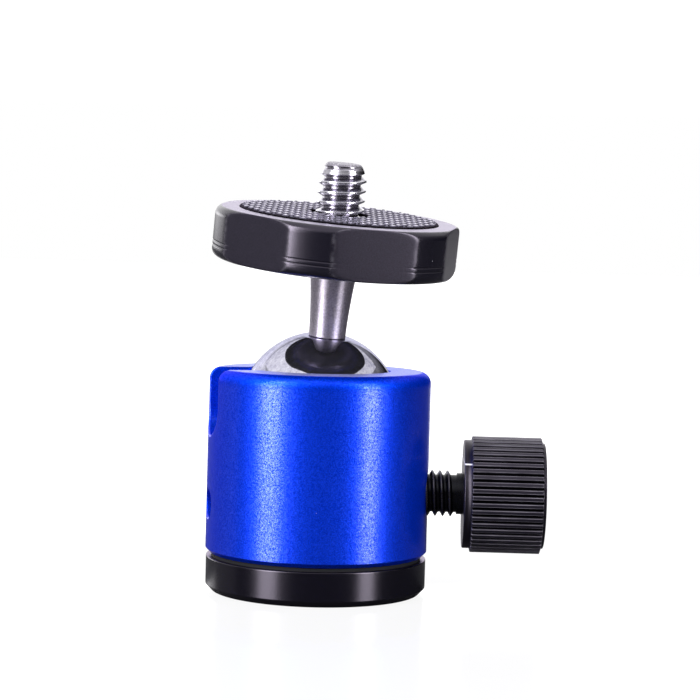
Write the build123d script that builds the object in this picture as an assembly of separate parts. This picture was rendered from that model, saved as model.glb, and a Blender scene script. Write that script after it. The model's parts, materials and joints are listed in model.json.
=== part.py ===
from build123d import *
import os
from math import atan2, cos, degrees, pi, radians, sin, sqrt, tan

os.makedirs("parts", exist_ok=True)

# Small tripod ball head. Millimetres, +Z up. The origin is the centre of the
# base plate's underside, on the axis of the round body. +X points along the
# lock screw (2 degrees off it) and -Y is the side the head leans towards.

# ---------------------------------------------------------------- body
BODY_R = 14.5
BODY_BOTTOM = 5.0
BODY_TOP = 29.0
BODY_TOP_FILLET = 1.5
BODY_FOOT_CHAMFER = 0.55
BORE_R = 10.62
NOTCH_EDGE_FILLET = 0.25
HOLE_EDGE_CHAMFER = 0.2

# ---------------------------------------------------------------- base
BASE_R = 14.4
BASE_TOP = 4.5
BASE_FOOT_CHAMFER = 0.8
BASE_EDGE_CHAMFER = 0.25
PLUG_R = 10.57
PLUG_TOP = 7.4
WASHER_R = 13.7
SOCKET_R = 2.55
SOCKET_DEPTH = 6.0

# ---------------------------------------------------------------- ball
BALL_R = 10.5
BALL_Z = 23.45
BALL_FLAT = 10.0
SEAT_GAP = 0.12
FIT = 0.05

# ------------------------------------------- lean of the head as it stands
LEAN_X = 0.074
LEAN_Y = -0.105

# ------------------------- friction pad and lift block, under the ball
PAD_THICKNESS = 0.9
PAD_HALF_ANGLE = 25
PAD_HOLE_R = 1.5
BLOCK_R = 10.55
BLOCK_BOTTOM = 8.0
BLOCK_TOP = 17.0

# ----------------------- drop notch and guide screw, on one bearing
NOTCH_BEARING = 192
NOTCH_HALF_WIDTH = 3.4
NOTCH_ROUND_Z = 23.7
GUIDE_Z = 11.4
GUIDE_R = 1.85
GUIDE_OUTER = 12.9
GUIDE_SHOULDER = 10.9
GUIDE_DOG_R = 1.2
GUIDE_DOG_TIP = 9.1
GUIDE_SLOT_TRAVEL = 0.6

# ------------------- stem, measured from the ball's centre along the stem
STEM_PROFILE = [(10.05, 2.40), (12.4, 2.49), (14.7, 2.64), (17.0, 2.87), (19.2, 3.12)]
STEM_SPIGOT_R = 1.9
STEM_SPIGOT_END = 5.0
CAMERA_THREAD_R = 3.175
CAMERA_THREAD_PITCH = 1.27
CAMERA_THREAD_ROOT = 2.45
CAMERA_THREAD_LAND = 0.2
CAMERA_THREAD_TURNS = 5
CAMERA_THREAD_START = 26.37
CAMERA_SHANK_R = 2.75
CAMERA_SHANK_END = 25.3
CAMERA_SCREW_TOP = 32.6

# ----------------------------------------------- hexagonal platform
PLATFORM_R = 16.05
PLATFORM_FLATS = 15.1
PLATFORM_BOTTOM = 19.25
PLATFORM_TOP = 25.89
PLATFORM_TOP_FILLET = 1.1
PLATFORM_FOOT_FILLET = 1.2
PLATFORM_BEARING = -71.7
PLATFORM_RINGS = [20.9, 21.45]
RING_DEPTH = 0.12
TOP_PAD_R = 12.85
TOP_PAD_THICKNESS = 1.5
TOP_PAD_TOP = 26.25
TOP_PAD_HOLE_R = 3.9

# ------------- lock screw, measured outwards from the body's axis
KNOB_Z = 13.2
KNOB_BEARING = -2
LOCK_THREAD_R = 3.0
LOCK_THREAD_PITCH = 1.0
LOCK_THREAD_ROOT = 2.45
LOCK_THREAD_START = 11.4
LOCK_THREAD_END = 18.2
NECK_R = 2.7
HEX_ACROSS_FLATS = 10.0
HEX_START = 24.3
HEX_END = 28.2
TIP_NOSE = 8.2
TIP_NOSE_R = 1.0
TIP_HALF_ANGLE = 30
TIP_SHOULDER = 10.8
TIP_PIN_R = 1.25
TIP_PIN_END = 13.8
TIP_SLACK = 0.25

# ---------------------------------------------------------------- knob
COLLAR_R = 7.07
COLLAR_START = 19.05
RIB_START = 20.03
RIB_END = 29.25
RIB_COUNT = 52
RIB_ROOT_R = 7.2
RIB_CREST_R = 7.58
LAND_R = 6.9
LAND_END = 29.6
CAP_R = 6.2
CAP_SEAT = 28.4
CAP_RISE = 0.25

ball_centre = Vector(0, 0, BALL_Z)
seat_r = BALL_R + SEAT_GAP

knob_plane = Plane(
    origin=(0, 0, KNOB_Z),
    x_dir=(0, 0, 1),
    z_dir=(cos(radians(KNOB_BEARING)), sin(radians(KNOB_BEARING)), 0),
)
notch_dir = Vector(cos(radians(NOTCH_BEARING)), sin(radians(NOTCH_BEARING)), 0)
head_axis = Vector(LEAN_X, LEAN_Y, 1).normalized()
head_plane = Plane(
    origin=ball_centre,
    x_dir=Vector(0, 1, 0).cross(head_axis),
    z_dir=head_axis,
)
sideways = Vector(0, 0, 1).cross(notch_dir)
pad_swing = degrees(atan2(-head_axis.dot(sideways), head_axis.Z))


def on_bearing(z):
    """Plane whose normal points out of the body along the notch, at height z."""
    return Plane(origin=(0, 0, z), x_dir=notch_dir.cross(Vector(0, 0, 1)), z_dir=notch_dir)


def turned(points):
    """Solid of revolution about Z from a closed outline of (radius, height) points."""
    outline = make_face(Polyline(*[(r, 0, z) for r, z in points], close=True))
    return revolve(outline, Axis.Z)


def tube(outer, inner, low, high):
    """Ring between two radii, standing between two heights."""
    return turned([(inner, low), (outer, low), (outer, high), (inner, high)])


def rod(radius, low, high):
    """Plain round bar on Z between two heights."""
    return Pos(0, 0, low) * Cylinder(
        radius, high - low, align=(Align.CENTER, Align.CENTER, Align.MIN)
    )


def ridge(root, crest, pitch, low, high):
    """Right-hand screw ridge on Z, its foot sunk a little into the root."""
    helix = Helix(pitch, high - low, root, center=(0, 0, low))
    foot, half_crest, sunk = 0.44 * pitch, 0.07 * pitch, 0.1
    section = Polyline(
        (-sunk, -foot),
        (crest - root, -half_crest),
        (crest - root, half_crest),
        (-sunk, foot),
        close=True,
    )
    start = Plane(origin=helix @ 0, x_dir=(1, 0, 0), z_dir=helix % 0)
    return sweep(start * make_face(section), path=helix, is_frenet=True)


def polar(edge):
    """An edge's middle as (radius from the body's axis, bearing off the notch, height)."""
    middle = edge @ 0.5
    off = degrees(atan2(middle.Y, middle.X)) - NOTCH_BEARING
    return sqrt(middle.X**2 + middle.Y**2), abs((off + 180) % 360 - 180), middle.Z


def on_notch_rim(edge):
    """True on the notch's outline, outside and across the top face."""
    radius, off, z = polar(edge)
    inside = edge.geom_type == GeomType.LINE and abs(z - NOTCH_ROUND_Z) < 0.01
    return off < 22 and radius > BORE_R + 0.2 and z > GUIDE_Z + 5 and not inside


def on_hole_rim(edge):
    """True where the guide hole and the lock screw's hole open outwards."""
    radius, _, z = polar(edge)
    reach = 1.2 * LOCK_THREAD_R
    return abs(radius - BODY_R) < 0.05 and abs(z - KNOB_Z) < reach and not on_seam(edge)


def on_seam(edge):
    """True on the straight line where the body's outside closes on itself."""
    return edge.geom_type == GeomType.LINE


def on_mouth_rim(edge):
    """True on the arc where the ball's seat opens in the top face."""
    radius, _, z = polar(edge)
    return radius < BALL_R and abs(z - BODY_TOP) < 0.01 and edge.geom_type == GeomType.CIRCLE


def housing():
    """Cup with a round seat that holds the ball down, cut by the drop notch."""
    rise = BODY_TOP - BALL_Z
    mouth_r = sqrt(seat_r**2 - rise**2)
    half = sqrt(0.5)
    mid = 0.5 * (Vector(seat_r, 0, 0) + Vector(mouth_r, 0, rise))
    mid = mid * (seat_r / mid.length)
    f = BODY_TOP_FILLET
    wall = [
        Line((BORE_R, 0, BALL_Z), (BORE_R, 0, BODY_BOTTOM)),
        Line((BORE_R, 0, BODY_BOTTOM), (BODY_R - BODY_FOOT_CHAMFER, 0, BODY_BOTTOM)),
        Line(
            (BODY_R - BODY_FOOT_CHAMFER, 0, BODY_BOTTOM),
            (BODY_R, 0, BODY_BOTTOM + BODY_FOOT_CHAMFER),
        ),
        Line((BODY_R, 0, BODY_BOTTOM + BODY_FOOT_CHAMFER), (BODY_R, 0, BODY_TOP - f)),
        ThreePointArc(
            (BODY_R, 0, BODY_TOP - f),
            (BODY_R - f + f * half, 0, BODY_TOP - f + f * half),
            (BODY_R - f, 0, BODY_TOP),
        ),
        Line((BODY_R - f, 0, BODY_TOP), (mouth_r, 0, BODY_TOP)),
        ThreePointArc(
            (mouth_r, 0, BODY_TOP), (mid.X, 0, BALL_Z + mid.Z), (BORE_R, 0, BALL_Z)
        ),
    ]
    cup = revolve(make_face(Curve() + wall), Axis.Z)

    wide = 2 * NOTCH_HALF_WIDTH
    slot = SlotOverall(60, wide, rotation=90)
    reach = on_bearing(NOTCH_ROUND_Z + 30 - NOTCH_HALF_WIDTH)
    notch = extrude(reach * slot, 20)
    guide_hole = on_bearing(GUIDE_Z) * rod(GUIDE_R, 8, 20)
    lock_hole = knob_plane * rod(LOCK_THREAD_R + FIT, 8, 20)
    cup = cup - notch - guide_hole - lock_hole
    cup = fillet(cup.edges().filter_by(on_notch_rim), NOTCH_EDGE_FILLET)
    cup = chamfer(cup.edges().filter_by(on_hole_rim), HOLE_EDGE_CHAMFER)
    return chamfer(cup.edges().filter_by(on_mouth_rim), HOLE_EDGE_CHAMFER)


def base_plate():
    """Foot with a plug that closes the body and a blind socket for a tripod screw."""
    c, e = BASE_FOOT_CHAMFER, BASE_EDGE_CHAMFER
    return turned(
        [
            (SOCKET_R, 0),
            (BASE_R - c, 0),
            (BASE_R, c),
            (BASE_R, BASE_TOP - e),
            (BASE_R - e, BASE_TOP),
            (PLUG_R, BASE_TOP),
            (PLUG_R, PLUG_TOP - e),
            (PLUG_R - e, PLUG_TOP),
            (0, PLUG_TOP),
            (0, SOCKET_DEPTH),
            (SOCKET_R, SOCKET_DEPTH),
        ]
    )


def base_washer():
    """Black spacer between the foot and the body, set back from both rims."""
    return tube(WASHER_R, BORE_R + FIT, BASE_TOP, BODY_BOTTOM)


def guide_screw():
    """Grub screw with a dog end that keeps the lift block from turning."""
    shank = rod(GUIDE_R - FIT, GUIDE_SHOULDER, GUIDE_OUTER)
    dog = rod(GUIDE_DOG_R, GUIDE_DOG_TIP, GUIDE_SHOULDER)
    hex_key = extrude(
        Plane.XY.offset(GUIDE_OUTER - 1.2) * RegularPolygon(1.0, 6, major_radius=False), 2
    )
    return on_bearing(GUIDE_Z) * (shank + dog - hex_key)


def lift_block():
    """Plunger under the ball: round cup on top, cone in its side for the screw's tip."""
    pad_seat_r = BALL_R + PAD_THICKNESS + 2 * FIT
    block = rod(BLOCK_R, BLOCK_BOTTOM, BLOCK_TOP) - Pos(*ball_centre) * Sphere(pad_seat_r)

    slope = tan(radians(TIP_HALF_ANGLE))
    cone_r = TIP_NOSE_R + FIT + TIP_SLACK
    cone = turned(
        [
            (0, TIP_NOSE - 0.7),
            (cone_r - 0.7 * slope, TIP_NOSE - 0.7),
            (cone_r + (TIP_SHOULDER - TIP_NOSE) * slope, TIP_SHOULDER),
            (0, TIP_SHOULDER),
        ]
    )
    block -= Pos(0, 0, -TIP_SLACK) * (knob_plane * cone)

    height = 2 * (GUIDE_DOG_R + FIT + GUIDE_SLOT_TRAVEL)
    keyway = SlotOverall(height, 2 * (GUIDE_DOG_R + FIT), rotation=90)
    start = on_bearing(GUIDE_Z)
    start.origin = start.origin + notch_dir * (GUIDE_DOG_TIP - 0.3)
    return block - extrude(start * keyway, 4)


def ball_pad():
    """Thin nylon shell between the ball and the lift block."""
    low_r, high_r = BALL_R + FIT, BALL_R + FIT + PAD_THICKNESS
    edge = radians(PAD_HALF_ANGLE)

    def at(radius, angle):
        return (radius * sin(angle), 0, -radius * cos(angle))

    hole = [sqrt(r**2 - PAD_HOLE_R**2) for r in (low_r, high_r)]
    outline = [
        Line((PAD_HOLE_R, 0, -hole[0]), (PAD_HOLE_R, 0, -hole[1])),
        ThreePointArc((PAD_HOLE_R, 0, -hole[1]), at(high_r, 0.6 * edge), at(high_r, edge)),
        Line(at(high_r, edge), at(low_r, edge)),
        ThreePointArc(at(low_r, edge), at(low_r, 0.6 * edge), (PAD_HOLE_R, 0, -hole[0])),
    ]
    shell = revolve(make_face(Curve() + outline), Axis.Z)
    swung = shell.rotate(Axis((0, 0, 0), notch_dir), pad_swing)
    return Pos(*ball_centre) * swung


def ball():
    """Polished ball with a small flat and a bore for the stem."""
    blank = Sphere(BALL_R) & rod(BALL_R + 1, -BALL_R - 1, BALL_FLAT)
    bore = rod(STEM_SPIGOT_R + FIT, STEM_SPIGOT_END - 0.1, BALL_FLAT + 1)
    return head_plane * (blank - bore)


def stem():
    """Flared stem whose upper end is the camera screw, its 60 degree thread as rings."""
    foot, shoulder = STEM_PROFILE[0][0], STEM_PROFILE[-1][0]
    root, crest, top = CAMERA_THREAD_ROOT, CAMERA_THREAD_R, CAMERA_SCREW_TOP
    lead, slant = 0.5, (crest - root) * tan(radians(30))
    rings = []
    for turn in range(CAMERA_THREAD_TURNS):
        low = CAMERA_THREAD_START + turn * CAMERA_THREAD_PITCH
        high = low + CAMERA_THREAD_LAND
        rings += [(root, 0, low - slant), (crest, 0, low), (crest, 0, high), (root, 0, high + slant)]
    flank = Spline(*[(r, 0, z) for z, r in STEM_PROFILE])
    outline = [
        flank,
        Polyline(
            flank @ 1,
            (CAMERA_SHANK_R, 0, shoulder),
            (CAMERA_SHANK_R, 0, CAMERA_SHANK_END),
            (root, 0, CAMERA_SHANK_END),
            *rings,
            (root, 0, top - lead),
            (root - lead, 0, top),
            (0, 0, top),
            (0, 0, STEM_SPIGOT_END),
            (STEM_SPIGOT_R, 0, STEM_SPIGOT_END),
            (STEM_SPIGOT_R, 0, foot),
            flank @ 0,
        ),
    ]
    return head_plane * revolve(make_face(Curve() + outline), Axis.Z)


def platform():
    """Camera platform: a turned disc with six grip flats and a seat for the pad."""
    r, low, high = PLATFORM_R, PLATFORM_BOTTOM, PLATFORM_TOP
    t, b, half = PLATFORM_TOP_FILLET, PLATFORM_FOOT_FILLET, sqrt(0.5)
    seat_r_, seat_z = TOP_PAD_R + FIT, TOP_PAD_TOP - TOP_PAD_THICKNESS
    hole = CAMERA_SHANK_R + FIT
    side = [(r, 0, low + b)]
    for z in PLATFORM_RINGS:
        side += [(r, 0, z - RING_DEPTH), (r - RING_DEPTH, 0, z), (r, 0, z + RING_DEPTH)]
    side += [(r, 0, high - t)]
    side = [p for p in side if p[2] >= low + b]
    outline = [
        Polyline(*side),
        ThreePointArc(side[-1], (r - t + t * half, 0, high - t + t * half), (r - t, 0, high)),
        Polyline(
            (r - t, 0, high),
            (seat_r_, 0, high),
            (seat_r_, 0, seat_z),
            (hole, 0, seat_z),
            (hole, 0, low),
            (r - b, 0, low),
        ),
        ThreePointArc((r - b, 0, low), (r - b + b * half, 0, low + b - b * half), side[0]),
    ]
    disc = revolve(make_face(Curve() + outline), Axis.Z)
    hexagon = RegularPolygon(
        PLATFORM_FLATS, 6, major_radius=False, rotation=PLATFORM_BEARING - 30
    )
    return head_plane * (disc & extrude(Plane.XY.offset(low - 1) * hexagon, high - low + 2))


def rubber_pad():
    """Rubber disc let into the platform, standing a little proud."""
    low = TOP_PAD_TOP - TOP_PAD_THICKNESS
    return head_plane * tube(TOP_PAD_R, TOP_PAD_HOLE_R, low, TOP_PAD_TOP)


def thrust_tip():
    """Brass cone on the end of the lock screw. It slides and doesn't turn."""
    slope = tan(radians(TIP_HALF_ANGLE))
    base_r = TIP_NOSE_R + (TIP_SHOULDER - TIP_NOSE) * slope
    back = LOCK_THREAD_START - FIT
    return knob_plane * turned(
        [
            (0, TIP_NOSE),
            (TIP_NOSE_R, TIP_NOSE),
            (base_r, TIP_SHOULDER),
            (base_r, back),
            (TIP_PIN_R, back),
            (TIP_PIN_R, TIP_PIN_END),
            (0, TIP_PIN_END),
        ]
    )


def lock_screw():
    """Hexagon-headed screw with its head sunk in the knob."""
    low, high, pitch = LOCK_THREAD_START, LOCK_THREAD_END, LOCK_THREAD_PITCH
    bar = rod(LOCK_THREAD_ROOT, low, high + 0.1) + rod(NECK_R, high, HEX_START + 0.1)
    head = extrude(
        Plane.XY.offset(HEX_START) * RegularPolygon(HEX_ACROSS_FLATS / 2, 6, major_radius=False),
        HEX_END - HEX_START,
    )
    thread = ridge(LOCK_THREAD_ROOT, LOCK_THREAD_R, pitch, low + 0.6, high - 0.5)
    pin_hole = rod(TIP_PIN_R + FIT, low - 1, TIP_PIN_END + 0.2)
    return knob_plane * (bar + head + thread - pin_hole)


def knob_grip():
    """Black knob: plain collar, straight ribs, plain end land and a hexagon pocket."""
    step = 2 * pi / RIB_COUNT
    points = []
    for rib in range(RIB_COUNT):
        for share, radius in (
            (0.0, RIB_ROOT_R),
            (0.2, RIB_ROOT_R),
            (0.35, RIB_CREST_R),
            (0.85, RIB_CREST_R),
        ):
            angle = (rib + share) * step
            points.append((radius * cos(angle), radius * sin(angle)))
    ribs = extrude(
        Plane.XY.offset(RIB_START) * make_face(Polyline(*points, close=True)),
        RIB_END - RIB_START,
    )
    pocket = extrude(
        Plane.XY.offset(HEX_START - 0.02)
        * RegularPolygon(HEX_ACROSS_FLATS / 2 + 0.02, 6, major_radius=False),
        LAND_END - HEX_START,
    )
    blank = rod(COLLAR_R, COLLAR_START, RIB_START) + ribs + rod(LAND_R, RIB_END, LAND_END)
    neck_hole = rod(NECK_R + 0.02, COLLAR_START - 1, HEX_START + 1)
    cap_seat = rod(CAP_R + 0.02, CAP_SEAT, LAND_END + 1)
    return knob_plane * (blank - pocket - neck_hole - cap_seat)


def knob_cap():
    """Slightly domed disc that closes the knob's outer end."""
    rim, low = LAND_END - 0.1, CAP_SEAT + 0.02
    outline = [
        Polyline((CAP_R, 0, rim), (CAP_R, 0, low), (0, 0, low), (0, 0, rim + CAP_RISE)),
        ThreePointArc(
            (0, 0, rim + CAP_RISE), (CAP_R / 2, 0, rim + 0.75 * CAP_RISE), (CAP_R, 0, rim)
        ),
    ]
    return knob_plane * revolve(make_face(Curve() + outline), Axis.Z)


for piece in (
    housing,
    base_plate,
    base_washer,
    guide_screw,
    lift_block,
    ball_pad,
    ball,
    stem,
    platform,
    rubber_pad,
    thrust_tip,
    lock_screw,
    knob_grip,
    knob_cap,
):
    export_step(piece(), f"parts/{piece.__name__}.step")
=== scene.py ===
# %% [markdown]
# # A small tripod ball head, dressed
#
# The engineering model gives every piece its place and its motion. This script loads it, sets up
# the studio, makes finer surfaces for the pieces that are looked at most, and gives every piece a
# finish.

import json
from math import cos, degrees, pi, radians, sin, tan

import bpy
import numpy as np
from mathutils import Matrix, Vector


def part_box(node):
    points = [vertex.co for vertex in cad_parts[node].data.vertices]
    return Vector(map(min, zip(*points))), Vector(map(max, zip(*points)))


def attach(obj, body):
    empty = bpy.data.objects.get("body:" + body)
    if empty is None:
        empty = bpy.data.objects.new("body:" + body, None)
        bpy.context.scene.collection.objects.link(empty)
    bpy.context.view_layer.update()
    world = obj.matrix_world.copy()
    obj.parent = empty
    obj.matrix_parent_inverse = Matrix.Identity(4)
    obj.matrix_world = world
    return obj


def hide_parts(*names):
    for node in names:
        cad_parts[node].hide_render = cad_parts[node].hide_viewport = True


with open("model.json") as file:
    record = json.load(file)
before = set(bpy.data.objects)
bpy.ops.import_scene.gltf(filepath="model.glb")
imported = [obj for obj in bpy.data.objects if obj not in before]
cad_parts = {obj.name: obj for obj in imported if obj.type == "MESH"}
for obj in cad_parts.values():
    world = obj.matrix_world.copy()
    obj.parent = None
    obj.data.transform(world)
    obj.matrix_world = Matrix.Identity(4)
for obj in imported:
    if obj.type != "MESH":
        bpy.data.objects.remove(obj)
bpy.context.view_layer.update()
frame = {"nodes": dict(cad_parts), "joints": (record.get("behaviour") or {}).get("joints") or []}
nodes = frame["nodes"]
joints = {joint["name"]: joint for joint in frame["joints"]}
MM = 0.001
print("pieces:", sorted(nodes))

# %% [markdown]
# ## The camera
#
# A long lens from a quarter of a metre away, a little above the middle of the head and a little off
# level. A camera matrix has three columns: right, up and backwards. They follow from the direction
# that the lens looks in and from how far the camera is rolled about it.

# %% Camera
CAMERA_PLACE = Vector((0.0, -0.2706, 0.04603))
CAMERA_YAW = 0.0140
CAMERA_DOWN = 0.0532
CAMERA_ROLL = 0.0266
CAMERA_LENS = 106.6
SENSOR = 36.0
NEAREST_SEEN = 0.01


def camera_matrix(place, yaw, down, roll):
    """Matrix of a camera that looks along +Y, turned by yaw to the right, tipped down and rolled."""
    forward = Vector((sin(yaw) * cos(down), cos(yaw) * cos(down), -sin(down)))
    level = forward.cross(Vector((0, 0, 1))).normalized()
    above = level.cross(forward)
    right = cos(roll) * level + sin(roll) * above
    up = cos(roll) * above - sin(roll) * level
    matrix = Matrix((right, up, -forward)).transposed().to_4x4()
    matrix.translation = place
    return matrix


camera = bpy.data.objects.new("camera", bpy.data.cameras.new("camera"))
bpy.context.scene.collection.objects.link(camera)
camera.data.lens = CAMERA_LENS
camera.data.sensor_width = SENSOR
camera.data.clip_start = NEAREST_SEEN
camera.matrix_world = camera_matrix(CAMERA_PLACE, CAMERA_YAW, CAMERA_DOWN, CAMERA_ROLL)
bpy.context.scene.camera = camera
bpy.context.scene.view_settings.view_transform = "Standard"

# %% [markdown]
# ## The studio
#
# Two tall soft boxes stand left and right of the camera: they draw the two upright bands on the
# blue cup. Just behind each hangs a wider and much dimmer wing, which lets the bands fade out
# instead of ending. A weak panel fills in from the far left, and a wide one hangs overhead. Where
# the camera stands it is dark, so that dark pieces stay dark in the middle.

# %% Lights
SOFT_BOX_DISTANCE = 0.60
WING_DISTANCE = SOFT_BOX_DISTANCE + 0.02
PANEL_DISTANCE = 0.50
AIM = Vector((0, 0, 0.025))
LAMPS = {
    # azimuth and elevation in degrees, then distance, width and height in metres, and power in watts
    "left_box": (-50, 14, SOFT_BOX_DISTANCE, 0.21, 0.80, 8.2),
    "left_wing": (-48, 10, WING_DISTANCE, 0.46, 0.60, 0.9),
    "right_box": (54, 10, SOFT_BOX_DISTANCE, 0.165, 0.70, 5.6),
    "right_wing": (54, 10, WING_DISTANCE, 0.36, 0.60, 0.15),
    "left_fill": (-112, 8, SOFT_BOX_DISTANCE, 0.50, 0.50, 0.35),
    "top_panel": (0, 88, PANEL_DISTANCE, 1.40, 1.40, 3.6),
}


def soft_box(name, azimuth, elevation, distance, width, height, power):
    """Area light at an azimuth from the camera's side (positive to the right), aimed at the head."""
    light = bpy.data.lights.new(name, "AREA")
    light.shape = "RECTANGLE"
    light.size, light.size_y = width, height
    light.energy = power
    lamp = bpy.data.objects.new(name, light)
    bpy.context.scene.collection.objects.link(lamp)
    side, level = radians(azimuth), radians(elevation)
    out = Vector((sin(side) * cos(level), -cos(side) * cos(level), sin(level)))
    lamp.location = AIM + distance * out
    lamp.rotation_euler = out.to_track_quat("Z", "Y").to_euler()
    lamp.visible_camera = False


for name, setting in LAMPS.items():
    soft_box(name, *setting)
print("studio:", ", ".join(LAMPS))

# %% [markdown]
# ## Nodes as formulas
#
# A finish is a tree of nodes, which could be wired up one link at a time. Two small classes make it
# read as a formula instead: one makes a node from its type, its settings and its sockets, and the
# other wraps an output socket, so that `1 - mask * 0.5` adds the Math nodes that work it out.

# %% Makers of nodes
class Nodes:
    """Makes nodes in one node tree: a type, its settings, then the values or links of its sockets."""

    def __init__(self, tree):
        self.tree = tree
        tree.nodes.clear()

    def make(self, kind, settings=None, output=0, **sockets):
        """A socket is named with _ for each space, or by its number, as in i0 and i1."""
        node = self.tree.nodes.new("ShaderNode" + kind)
        for name, value in (settings or {}).items():
            setattr(node, name, value)
        for name, value in sockets.items():
            key = int(name[1:]) if name[0] == "i" and name[1:].isdigit() else name.replace("_", " ")
            if isinstance(value, Value):
                self.tree.links.new(value.socket, node.inputs[key])
            else:
                node.inputs[key].default_value = value
        return Value(self, node.outputs[output]) if node.outputs else node


class Value:
    """One output socket. Arithmetic on it adds Math nodes, so shader maths reads as a formula."""

    def __init__(self, maker, socket):
        self.maker, self.socket = maker, socket

    def maths(self, operation, *others):
        inputs = {f"i{k}": other for k, other in enumerate((self, *others))}
        return self.maker.make("Math", {"operation": operation}, **inputs)

    def __add__(self, other):
        return self.maths("ADD", other)

    def __mul__(self, other):
        return self.maths("MULTIPLY", other)

    def __sub__(self, other):
        return self.maths("SUBTRACT", other)

    def __rsub__(self, other):
        return self.maker.make("Math", {"operation": "SUBTRACT"}, i0=other, i1=self)

    __radd__, __rmul__ = __add__, __mul__

    def clamped(self, low, high):
        """0 at or below low, 1 at or above high, straight in between."""
        return self.maker.make("MapRange", {"clamp": True}, Value=self, From_Min=low, From_Max=high)

    def between(self, rise, fall):
        """1 between two ramps, each given by its two ends, and 0 outside them."""
        return self.clamped(*rise) * (1 - self.clamped(*fall))


# %% [markdown]
# ## Backdrop
#
# Where the camera looks past the head, the world is plain white. What the pieces see of it matters
# more, because their shine is made of it: a white backdrop that stops short on the right, a
# brighter and low flank near its left end, a dim ceiling that is dimmer still to the right, and a
# room that is nearly black elsewhere. The light path tells the two kinds of look apart.
#
# Each pair of numbers gives the two ends of a ramp. Turns are in radians to the right of straight
# ahead. Heights run from 0 at the horizon to 1 overhead, and `across` from 0 in the middle to 1 at
# the far right.

# %% Backdrop
BACKDROP = 1.6
BACKDROP_TURNS = (-0.95, -0.65), (0.30, 0.36)
BACKDROP_HEIGHTS = (0.0, 0.03), (0.42, 0.60)
BACKDROP_LOW = 0.45
BACKDROP_RISING = (0.04, 0.11)
FLANK = 2.4
FLANK_TURNS = (-0.95, -0.85), (-0.50, -0.38)
FLANK_HEIGHTS = (0.01, 0.05), (0.16, 0.25)
CEILING = 0.50
CEILING_HEIGHTS = (0.25, 0.45)
CEILING_LOSS = 0.28
CEILING_LOSS_ACROSS = (0.15, 0.6)
ROOM = 0.006
WHITE = (1.0, 1.0, 1.0, 1)
world = bpy.data.worlds.new("studio")
bpy.context.scene.world = world
world.use_nodes = True
sky = Nodes(world.node_tree)
direction = sky.make("TexCoord", output="Generated")
along_x, along_y, along_z = (sky.make("SeparateXYZ", output=axis, Vector=direction) for axis in "XYZ")
turned_right = along_x.maths("ARCTAN2", along_y)
rising = along_z.clamped(*BACKDROP_RISING) * (1 - BACKDROP_LOW) + BACKDROP_LOW
behind = turned_right.between(*BACKDROP_TURNS) * along_z.between(*BACKDROP_HEIGHTS) * rising
behind = behind * BACKDROP
ceiling = CEILING - along_x.clamped(*CEILING_LOSS_ACROSS) * CEILING_LOSS
above = along_z.clamped(*CEILING_HEIGHTS) * ceiling
flank = turned_right.between(*FLANK_TURNS) * along_z.between(*FLANK_HEIGHTS) * FLANK
lit = behind.maths("MAXIMUM", above) + flank + ROOM
seen = sky.make("LightPath", output="Is Camera Ray")
sky.make(
    "OutputWorld",
    Surface=sky.make("Background", Color=WHITE, Strength=seen.maths("MAXIMUM", lit)),
)
print("backdrop: white to the camera, shaped for what shines")

# %% [markdown]
# ## Floor
#
# The floor is a pale sheet flush with the underside of the base. To the camera it glows almost
# white near the head and fully white further off, so that it meets the backdrop without a horizon.
# To the pieces it is dark apart from a sweep behind the head, which they mirror. Beside the sweep
# the sheet is rougher, which blurs what it mirrors itself. Distances are in metres, and turns in
# radians from straight behind.

# %% Floor
FLOOR_HALF = 3.0
GLOW_NEAR, GLOW_GAIN = 0.90, 0.12
GLOW_RISING = (0.03, 0.25)
SWEEP = 0.65
SWEEP_TURNS = (-0.34, -0.22), (0.28, 0.52)
SWEEP_STARTS = (0.06, 0.20)
DULL_TURNS = (0.30, 0.42), (1.15, 1.5)
floor_mesh = bpy.data.meshes.new("floor")
corners = [(x * FLOOR_HALF, y * FLOOR_HALF, 0) for x, y in ((-1, -1), (1, -1), (1, 1), (-1, 1))]
floor_mesh.from_pydata(corners, [], [(0, 1, 2, 3)])
floor = bpy.data.objects.new("floor", floor_mesh)
bpy.context.scene.collection.objects.link(floor)

floor_finish = bpy.data.materials.new("pale_paper")
floor_finish.use_nodes = True
paper = Nodes(floor_finish.node_tree)
floor_point = paper.make("TexCoord", output="Object")
away = paper.make("VectorMath", {"operation": "LENGTH"}, output="Value", i0=floor_point)
glow = away.clamped(*GLOW_RISING) * GLOW_GAIN + GLOW_NEAR
floor_x, floor_y = (paper.make("SeparateXYZ", output=axis, Vector=floor_point) for axis in "XY")
floor_turn = floor_x.maths("ARCTAN2", floor_y)
sweep = floor_turn.between(*SWEEP_TURNS) * floor_y.clamped(*SWEEP_STARTS) * SWEEP
dull_sector = floor_turn.maths("ABSOLUTE").between(*DULL_TURNS)
to_camera = paper.make("LightPath", output="Is Camera Ray")
paper.make(
    "OutputMaterial",
    Surface=paper.make(
        "BsdfPrincipled",
        Base_Color=(0.05, 0.05, 0.055, 1),
        Roughness=dull_sector * 0.6 + 0.12,
        Specular_IOR_Level=0.25,
        Emission_Color=WHITE,
        Emission_Strength=to_camera * glow + (1 - to_camera) * sweep,
    ),
)
floor_mesh.materials.append(floor_finish)
print("floor", 2 * FLOOR_HALF, "metres across")

# %% [markdown]
# ## Frames of reference
#
# Each group of pieces turns about one line that the engineering model already names: the stem's
# line through the ball's centre, the lock screw's line, and the body's own upright. A finer surface
# is worked out in that line's own coordinates and then laid into place.

# %% Lines of the head and of the lock screw
ball_centre = np.array(joints["ball_twist"]["pos_m"]) / MM
head_line = np.array(joints["ball_twist"]["axis"])
screw_line = np.array(joints["knob_turn"]["axis"])
screw_centre = np.array(joints["knob_turn"]["pos_m"]) / MM


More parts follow.
